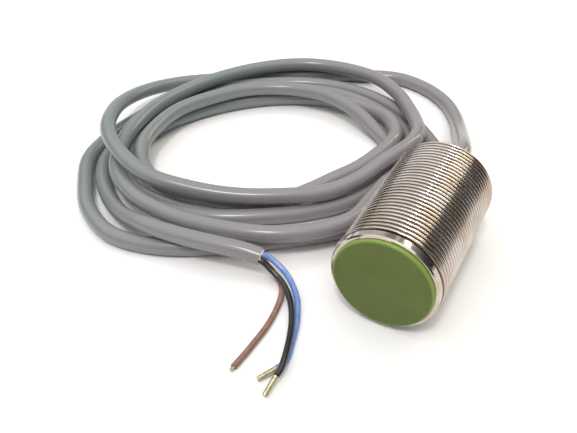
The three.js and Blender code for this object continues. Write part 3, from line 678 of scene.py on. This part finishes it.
def turn(name, profile, steps):
    """A turned piece from (radius, station) pairs: a disc drawn up and scaled ring by ring."""
    start_radius, start_station = profile[0]
    bpy.ops.object.select_all(action="DESELECT")
    bpy.ops.mesh.primitive_circle_add(
        vertices=steps, radius=start_radius, fill_type="NGON", location=(0, 0, start_station)
    )
    piece = bpy.context.object
    piece.name = name
    bpy.ops.object.transform_apply()
    bpy.ops.object.mode_set(mode="EDIT")
    bpy.ops.mesh.select_all(action="SELECT")
    bpy.ops.mesh.select_mode(type="FACE")
    for (radius, station), (wider, further) in zip(profile, profile[1:]):
        bpy.ops.mesh.extrude_region_move(
            TRANSFORM_OT_translate={"value": (0, 0, further - station)}
        )
        bpy.ops.transform.resize(value=(wider / radius, wider / radius, 1))
    bpy.ops.mesh.select_all(action="SELECT")
    bpy.ops.mesh.normals_make_consistent(inside=False)
    bpy.ops.object.mode_set(mode="OBJECT")
    bpy.ops.object.shade_smooth_by_angle(angle=math.radians(30))
    return piece


def in_mm(pairs):
    """Pairs of millimetres as pairs of metres."""
    return [(radius * MM, station * MM) for radius, station in pairs]


cap_profile = in_mm([
    (12.9, 0), (13.1, 0.02), (13.3, 0.1), (13.46, 0.22), (13.57, 0.38), (13.62, 0.56),
    (13.62, 1.0), (12.3, 1.0), (12.3, 2.6), (11.1, 2.6), (11.1, 4.1), (12.3, 4.1), (12.3, 12),
    (10.6, 12), (10.6, 1.4),
])
cap = turn("moulded_face_cap", cap_profile, CAP_STEPS)
lay_down(cap)


def green_moulding():
    # Satin moulded polyester: olive green, with the fine even grain of a spark-eroded mould, faint
    # flow marks, and a glossier rounded edge that carries a painted highlight in a paler green.
    material, tree, shader, mm = start_material(
        "green moulded polyester", 0.42, IOR=1.5, Specular_IOR_Level=0.3
    )
    radius, _ = turned_place(tree, mm)
    # Painted highlight: the colour turns paler over the rounded rim.
    edge = progress(tree, radius, *CAP_RIM_HIGHLIGHT_RADII)
    face = ramp(tree, blotches(tree, mm, 7, 5), [(0.3, "#57652a"), (0.7, "#5f6d31")])
    tree.links.new(mix_colours(tree, edge, face, linear("#7f9a4a")), shader.inputs["Base Color"])
    tree.links.new(span(tree, edge, 0.43, 0.26), shader.inputs["Roughness"])
    relief(tree, shader, blotches(tree, mm, 0.28, 2), 0.02)
    return material


paint(cap, green_moulding())
finish_piece(cap, "cap_plastic", "sensing_face_cap")

# ---- Coil in its ferrite cup ---------------------------------------------------------------------
# A sintered ferrite cup holds a moulded bobbin wound with enamelled copper: it is what senses
# metal. A rubber ring seals the cap in the barrel, and the coil's two ends run to the board.
def rubber_ring(name):
    # Moulded nitrile: matt black with a little bloom.
    material, tree, shader, mm = start_material(name, 0.62)
    tone = ramp(tree, blotches(tree, mm, 1.5, 4), [(0.35, "#141414"), (0.75, "#2b2b2a")])
    tree.links.new(tone, shader.inputs["Base Color"])
    relief(tree, shader, blotches(tree, mm, 0.2), 0.01)
    return material


def sintered_ferrite():
    # Pressed and fired ferrite: dark grey, matt, with fine grains and small pits.
    material, tree, shader, mm = start_material("sintered ferrite", 0.7)
    grains = blotches(tree, mm, 0.18, 5)
    tone = ramp(tree, grains, [(0.3, "#2b2d30"), (0.7, "#484b4e")])
    tree.links.new(tone, shader.inputs["Base Color"])
    relief(tree, shader, grains, 0.03)
    return material


def bobbin_nylon():
    # Unfilled nylon, moulded: ivory and satin, with a soft mottle.
    material, tree, shader, mm = start_material(
        "ivory nylon", 0.45, IOR=1.53, Subsurface_Weight=0.1, Subsurface_Scale=0.001
    )
    tone = ramp(tree, blotches(tree, mm, 3), [(0.3, "#d3ccb8"), (0.7, "#e4dece")])
    tree.links.new(tone, shader.inputs["Base Color"])
    relief(tree, shader, blotches(tree, mm, 0.4), 0.01)
    return material


def enamelled_copper():
    # Fine enamelled wire wound side by side: a ridge for each turn, and warm amber-red metal,
    # painted darker in the gaps between turns as painted shade and paler on the ridges as a painted
    # highlight.
    material, tree, shader, mm = start_material("enamelled copper wire", 0.28, metallic=1.0)
    turns = add(
        tree, "ShaderNodeTexWave", {"Vector": mm, "Scale": 1.6, "Distortion": 0.4},
        wave_type="BANDS", bands_direction="Y",
    ).outputs["Fac"]
    # Painted shade and highlight: each turn is darker in the gap by the next turn and paler along
    # its ridge.
    tone = ramp(tree, turns, [(0, "#6e3a1c"), (0.5, "#b4673a"), (1, "#c67c4c")])
    tree.links.new(tone, shader.inputs["Base Color"])
    tree.links.new(span(tree, blotches(tree, mm, 0.8), 0.22, 0.38), shader.inputs["Roughness"])
    relief(tree, shader, turns, 0.06)
    return material


paint(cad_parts["cap_o_ring"], rubber_ring("nitrile ring of the cap"))
paint(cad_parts["ferrite_pot_core"], sintered_ferrite())
paint(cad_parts["coil_bobbin"], bobbin_nylon())
copper_wire = enamelled_copper()
for node in ("coil_winding", "coil_lead_start", "coil_lead_finish"):
    paint(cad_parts[node], copper_wire)

# ---- Carrier, board and shield -------------------------------------------------------------------
# A black moulded disc with two rails holds the ferrite cup at its front and the board behind it.
# The board is glass epoxy with green solder resist; a rolled brass sleeve keeps stray fields out.
def filled_nylon():
    # Glass-filled nylon: near black, with the greyish fibre bloom of its surface.
    material, tree, shader, mm = start_material("black filled nylon", 0.52)
    fibres = blotches(tree, mm, 0.5, 6)
    tone = ramp(tree, fibres, [(0.4, "#1d1d1f"), (0.8, "#38383a")])
    tree.links.new(tone, shader.inputs["Base Color"])
    relief(tree, shader, fibres, 0.02)
    return material


def solder_resist():
    # Green resist over copper tracks: glossy, paler where a track lies under it, glass weave below.
    material, tree, shader, mm = start_material("green solder resist", 0.3, IOR=1.55)
    tracks = add(
        tree, "ShaderNodeTexBrick",
        {
            "Vector": mm, "Color1": linear("#1c5a36"), "Color2": linear("#236a40"),
            "Mortar": linear("#3c8a58"), "Scale": 1.0, "Mortar Size": 0.16, "Brick Width": 2.3,
            "Row Height": 1.1,
        },
    )
    tree.links.new(tracks.outputs["Color"], shader.inputs["Base Color"])
    weave = blotches(tree, mm, 0.35, 3)
    tree.links.new(span(tree, weave, 0.22, 0.4), shader.inputs["Roughness"])
    relief(tree, shader, tracks.outputs["Fac"], 0.03)
    return material


def rolled_brass():
    # Thin rolled brass: straight rolling marks along the sleeve and light tarnish.
    material, tree, shader, mm = start_material("rolled brass sheet", 0.3, metallic=1.0)
    along = add(tree, "ShaderNodeVectorMath", {0: mm, 1: (1, 0.06, 1)}, operation="MULTIPLY")
    marks = blotches(tree, along.outputs["Vector"], 0.25, 4)
    tone = ramp(tree, blotches(tree, mm, 4, 5), [(0.3, "#a9824a"), (0.65, "#c79f5c")])
    tree.links.new(tone, shader.inputs["Base Color"])
    tree.links.new(span(tree, marks, 0.24, 0.44), shader.inputs["Roughness"])
    relief(tree, shader, marks, 0.008)
    return material


paint(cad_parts["core_carrier"], filled_nylon())
paint(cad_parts["circuit_board"], solder_resist())
paint(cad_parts["shield_sleeve"], rolled_brass())

# ---- Components on the board ---------------------------------------------------------------------
# Surface-mounted parts: an oscillator chip, an output transistor and a regulator in moulded epoxy,
# two ceramic capacitors, three film resistors, a glass diode, an electrolytic can, a yellow lamp.
def moulded_epoxy():
    # Black transfer-moulded epoxy with silica in it: matt, finely speckled.
    material, tree, shader, mm = start_material("moulded epoxy package", 0.58)
    specks = blotches(tree, mm, 0.1, 3)
    tone = ramp(tree, specks, [(0.45, "#1b1b1d"), (0.85, "#3d3d3f")])
    tree.links.new(tone, shader.inputs["Base Color"])
    relief(tree, shader, specks, 0.008)
    return material


def fired_body(name, deep, pale, roughness):
    # Fired ceramic or glaze: a fine mottle of two tones, with an uneven gloss.
    material, tree, shader, mm = start_material(name, roughness)
    body = ramp(tree, blotches(tree, mm, 0.4, 4), [(0.35, deep), (0.75, pale)])
    tree.links.new(body, shader.inputs["Base Color"])
    tree.links.new(
        span(tree, blotches(tree, mm, 0.3), roughness - 0.08, roughness + 0.1),
        shader.inputs["Roughness"],
    )
    relief(tree, shader, blotches(tree, mm, 0.15), 0.01)
    return material


def drawn_can():
    # Drawn aluminium can: fine rings round it from the tool, and a dull sheen.
    material, tree, shader, mm = start_material("drawn aluminium can", 0.3, metallic=1.0)
    around = add(tree, "ShaderNodeVectorMath", {0: mm, 1: (0.1, 0.1, 1)}, operation="MULTIPLY")
    rings = blotches(tree, around.outputs["Vector"], 0.15, 4)
    tone = ramp(tree, rings, [(0.3, "#b4b6b8"), (0.7, "#d0d2d4")])
    tree.links.new(tone, shader.inputs["Base Color"])
    tree.links.new(span(tree, rings, 0.22, 0.4), shader.inputs["Roughness"])
    relief(tree, shader, rings, 0.006)
    return material


def clear_body(name, deep, pale, roughness, through):
    # A small clear body of glass or resin, tinted, with slight streaks in it.
    material, tree, shader, mm = start_material(
        name, roughness, IOR=1.52, Transmission_Weight=through
    )
    tone = ramp(tree, blotches(tree, mm, 0.9, 3), [(0.3, deep), (0.7, pale)])
    tree.links.new(tone, shader.inputs["Base Color"])
    tree.links.new(
        span(tree, blotches(tree, mm, 0.5), roughness, roughness + 0.08), shader.inputs["Roughness"]
    )
    relief(tree, shader, blotches(tree, mm, 0.8), 0.006)
    return material


epoxy = moulded_epoxy()
for node in ("oscillator_chip", "output_transistor", "voltage_regulator"):
    paint(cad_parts[node], epoxy)
fired_ceramic = fired_body("fired capacitor ceramic", "#a8875a", "#bd9d70", 0.55)
for node in ("tank_capacitor", "filter_capacitor"):
    paint(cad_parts[node], fired_ceramic)
glazed_film = fired_body("glazed resistor film", "#1e1e21", "#33333a", 0.3)
for node in ("gain_resistor", "bias_resistor", "sense_resistor"):
    paint(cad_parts[node], glazed_film)
diode_glass = clear_body("red diode glass", "#8f3418", "#b65034", 0.06, through=0.5)
lamp_resin = clear_body("yellow lamp resin", "#d99f22", "#efc24c", 0.12, through=0.4)
paint(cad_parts["protection_diode"], diode_glass)
paint(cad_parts["smoothing_capacitor"], drawn_can())
paint(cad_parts["status_lamp"], lamp_resin)

# ---- Inner cores and solder joints ---------------------------------------------------------------
# The cable's three cores fan out from the crimp to pads at the rear of the board, each held by a
# dome of tin solder; two smaller domes hold the ends of the coil.
def bright_solder():
    # Freshly flowed tin: bright, with a slight frost of crystals.
    material, tree, shader, mm = start_material("flowed tin solder", 0.2, metallic=1.0)
    frost = blotches(tree, mm, 0.2, 4)
    tone = ramp(tree, frost, [(0.3, "#b2b5b8"), (0.7, "#d6d8da")])
    tree.links.new(tone, shader.inputs["Base Color"])
    tree.links.new(span(tree, frost, 0.14, 0.34), shader.inputs["Roughness"])
    relief(tree, shader, frost, 0.01)
    return material


for colour in core_routes:
    paint(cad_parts[f"{colour}_inner_core"], cores[colour].data.materials[0])
solder = bright_solder()
for joint in ("brown", "black", "blue", "coil_start", "coil_finish"):
    paint(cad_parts[f"{joint}_solder_joint"], solder)

# ---- Potting and crimp ---------------------------------------------------------------------------
# Cast resin closes the rear of the barrel round the cable. A tinned ring is crimped on the jacket
# in front of the end plug, so that a pull on the cable is taken there.
def cast_resin():
    # Filled polyurethane: dark brown, glossy where it met air, with faint swirls.
    material, tree, shader, mm = start_material("cast brown resin", 0.18, IOR=1.5)
    tone = ramp(tree, blotches(tree, mm, 5, 5), [(0.3, "#2f241c"), (0.7, "#4a3a2d")])
    tree.links.new(tone, shader.inputs["Base Color"])
    tree.links.new(span(tree, blotches(tree, mm, 2), 0.12, 0.3), shader.inputs["Roughness"])
    relief(tree, shader, blotches(tree, mm, 2.5), 0.03)
    return material


paint(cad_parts["potting_plug"], cast_resin())
paint(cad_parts["plug_o_ring"], rubber_ring("nitrile ring of the plug"))
paint(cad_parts["cable_crimp_ring"], tin)
paint(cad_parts["cable_in_boot"], grey_pvc)

# ---- Rear end plug -------------------------------------------------------------------------------
# A round moulding in black filled nylon. Its rounded rear edge sits just inside the barrel, and it
# has a hole for the boot and a small one for the lamp's light pipe.
PIPE_OFFSET = 6.6 * MM
PIPE_RISE = 0.9 * MM
PIPE_RADIUS = 1.2 * MM
PIPE_CLEARANCE = 0.08 * MM
PLUG_STEPS = 96
plug_profile = in_mm([
    (4.2, 44.9), (4.3, 41.3), (12.3, 41.3), (12.3, 42.9), (11.1, 42.9), (11.1, 44.4), (12.3, 44.4),
    (12.3, 47.9), (12.22, 48.12), (12.05, 48.28), (11.8, 48.36), (11.5, 48.4), (10.9, 48.4),
    (10.7, 48.25), (6, 48.25), (5.8, 48.4), (4.4, 48.4), (4.2, 48.2), (4.2, 44.95),
])
end_plug = turn("moulded_end_plug", plug_profile, PLUG_STEPS)
bpy.ops.object.select_all(action="DESELECT")
bpy.ops.mesh.primitive_cylinder_add(
    vertices=32, radius=PIPE_RADIUS + PIPE_CLEARANCE, depth=10 * MM,
    location=(PIPE_OFFSET, -PIPE_RISE, 46 * MM),
)
drill = bpy.context.object
hole = end_plug.modifiers.new("pipe hole", "BOOLEAN")
hole.object = drill
hole.solver = "EXACT"
only(end_plug)
bpy.ops.object.modifier_apply(modifier=hole.name)
bpy.data.objects.remove(drill)
lay_down(end_plug)
bpy.ops.object.shade_smooth_by_angle(angle=math.radians(30))


def moulded_nylon(name, dark, light, rough):
    # Black filled nylon or soft rubber: satin, with a fine spark-eroded grain and greyer rubs.
    material, tree, shader, mm = start_material(name, rough, IOR=1.5)
    tone = ramp(tree, blotches(tree, mm, 2.5, 6), [(0.35, dark), (0.75, light)])
    tree.links.new(tone, shader.inputs["Base Color"])
    gloss = span(tree, blotches(tree, mm, 1.5), rough - 0.06, rough + 0.1)
    tree.links.new(gloss, shader.inputs["Roughness"])
    relief(tree, shader, blotches(tree, mm, 0.22), 0.015)
    return material


paint(end_plug, moulded_nylon("black moulded end plug", "#1e1e20", "#313133", 0.44))
finish_piece(end_plug, "end_plastic", "rear_end_plug")

# ---- Light pipe ----------------------------------------------------------------------------------
# A clear acrylic rod carries the lamp's light to a small round window in the end plug; its rear
# end is slightly domed and polished.
PIPE_STEPS = 40
pipe_profile = in_mm([
    (1.12, 33.7), (1.2, 33.8), (1.2, 48.15), (1.14, 48.27), (0.95, 48.36), (0.6, 48.42),
    (0.25, 48.44),
])
pipe = turn("clear_light_pipe", pipe_profile, PIPE_STEPS)
pipe.location = (PIPE_OFFSET, -PIPE_RISE, 0)
only(pipe)
bpy.ops.object.transform_apply()
lay_down(pipe)
paint(pipe, clear_body("clear acrylic", "#dfe6e4", "#eef2f1", 0.05, through=0.85))
finish_piece(pipe, "light_pipe", "lamp_light_pipe")

# ---- Strain relief boot --------------------------------------------------------------------------
# Soft moulded rubber round the cable where it leaves: a collar against the plug, a gentle taper
# with four rounded grooves that let it bend, and a rounded tip.
BOOT_STEPS = 96
BOOT_START = 48.7
BOOT_LENGTH = 14.3
BOOT_ROOT_RADIUS = 5.0
BOOT_TIP_RADIUS = 3.7
BOOT_GROOVES = 4
BOOT_PLAIN = 2  # millimetres without grooves at either end
groove_pitch = (BOOT_LENGTH - 2 * BOOT_PLAIN) / BOOT_GROOVES
groove_shape = [  # share of a pitch, millimetres sunk
    (0, 0.04), (0.03, 0.0), (0.08, 0.12), (0.16, 0.42), (0.22, 0.53), (0.3, 0.55), (0.38, 0.53),
    (0.46, 0.4), (0.54, 0.12), (0.6, 0.0),
]
boot_profile = [(2.75, 45.5), (3.8, 45.4), (3.9, 45.5), (3.9, 48.7), (4.75, 48.7), (4.95, 48.85)]
for groove in range(BOOT_GROOVES):
    run = BOOT_PLAIN + groove * groove_pitch
    for share, sunk in groove_shape:
        place = run + share * groove_pitch
        radius = BOOT_ROOT_RADIUS + (BOOT_TIP_RADIUS - BOOT_ROOT_RADIUS) * place / BOOT_LENGTH
        boot_profile.append((radius - sunk, BOOT_START + place))
boot_profile += [
    (3.75, 62.4), (3.6, 62.75), (3.35, 62.95), (3.0, 63.0), (2.8, 62.9), (2.72, 62.5), (2.7, 45.6),
]
boot = turn("rubber_cable_boot", in_mm(boot_profile), BOOT_STEPS)
lay_down(boot)
paint(boot, moulded_nylon("soft black boot", "#19191a", "#2a2a2b", 0.5))
finish_piece(boot, "end_plastic", "strain_relief_boot")

# ---- Bench and light -----------------------------------------------------------------------------
# A plain white bench under a wide soft panel. A small lamp overhead draws the fine bright lines on
# the cable, and the panels behind show on the barrel as long pale bands.
bpy.ops.object.select_all(action="DESELECT")
bpy.ops.mesh.primitive_plane_add(size=6, location=(0, 0, 0))
bench = bpy.context.object
bench.name = "bench"
bench_paper, tree, shader, mm = start_material("white bench paper", 0.9)
tone = ramp(tree, blotches(tree, mm, 60), [(0.3, "#f4f4f3"), (0.7, "#f8f8f8")])
tree.links.new(tone, shader.inputs["Base Color"])
paint(bench, bench_paper)


def panel(name, place, aim, size, power, colour):
    """A soft rectangular light at place that faces aim."""
    bpy.ops.object.select_all(action="DESELECT")
    bpy.ops.object.light_add(type="AREA", location=place)
    lamp = bpy.context.object
    lamp.name = name
    lamp.data.shape = "RECTANGLE"
    lamp.data.size, lamp.data.size_y = size
    lamp.data.energy = power
    lamp.data.color = linear(colour)[:3]
    facing = Vector(aim) - Vector(place)
    lamp.rotation_euler = facing.to_track_quat("-Z", "Y").to_euler()


panel("overhead panel", (-0.75, -0.45, 1.2), (-0.75, -0.45, 0), (3.5, 2.6), 30, "#ffffff")
panel("overhead lamp", (0.06, -0.48, 1.0), (-0.05, 0, 0), (0.16, 0.16), 3.8, "#fff8f4")
panel("rear window", (-0.045, 0.78, 0.56), (0, 0, 0), (0.05, 0.8), 0.11, "#ffe6de")
panel("rear lamp", (0.24, 0.74, 0.54), (0, 0, 0), (0.07, 0.8), 2.1, "#fff0cc")
panel("left wall", (-0.62, 0.85, 0.36), (0, 0, 0), (1.15, 0.8), 2.0, "#eaf0f2")

# The room is dim near the horizon and pale overhead, so that metal has something dark to show.
world = bpy.data.worlds.new("room")
bpy.context.scene.world = world
world.use_nodes = True
room = world.node_tree
direction = add(room, "ShaderNodeTexCoord").outputs["Generated"]
rise = add(room, "ShaderNodeSeparateXYZ", {"Vector": direction}).outputs["Z"]
sky = ramp(room, rise, [(0, "#2e2b2a"), (0.35, "#5a5857"), (1, "#e0e0e0")])
room.links.new(sky, room.nodes["Background"].inputs["Color"])
room.nodes["Background"].inputs["Strength"].default_value = 0.7
bpy.context.scene.view_settings.view_transform = "Standard"
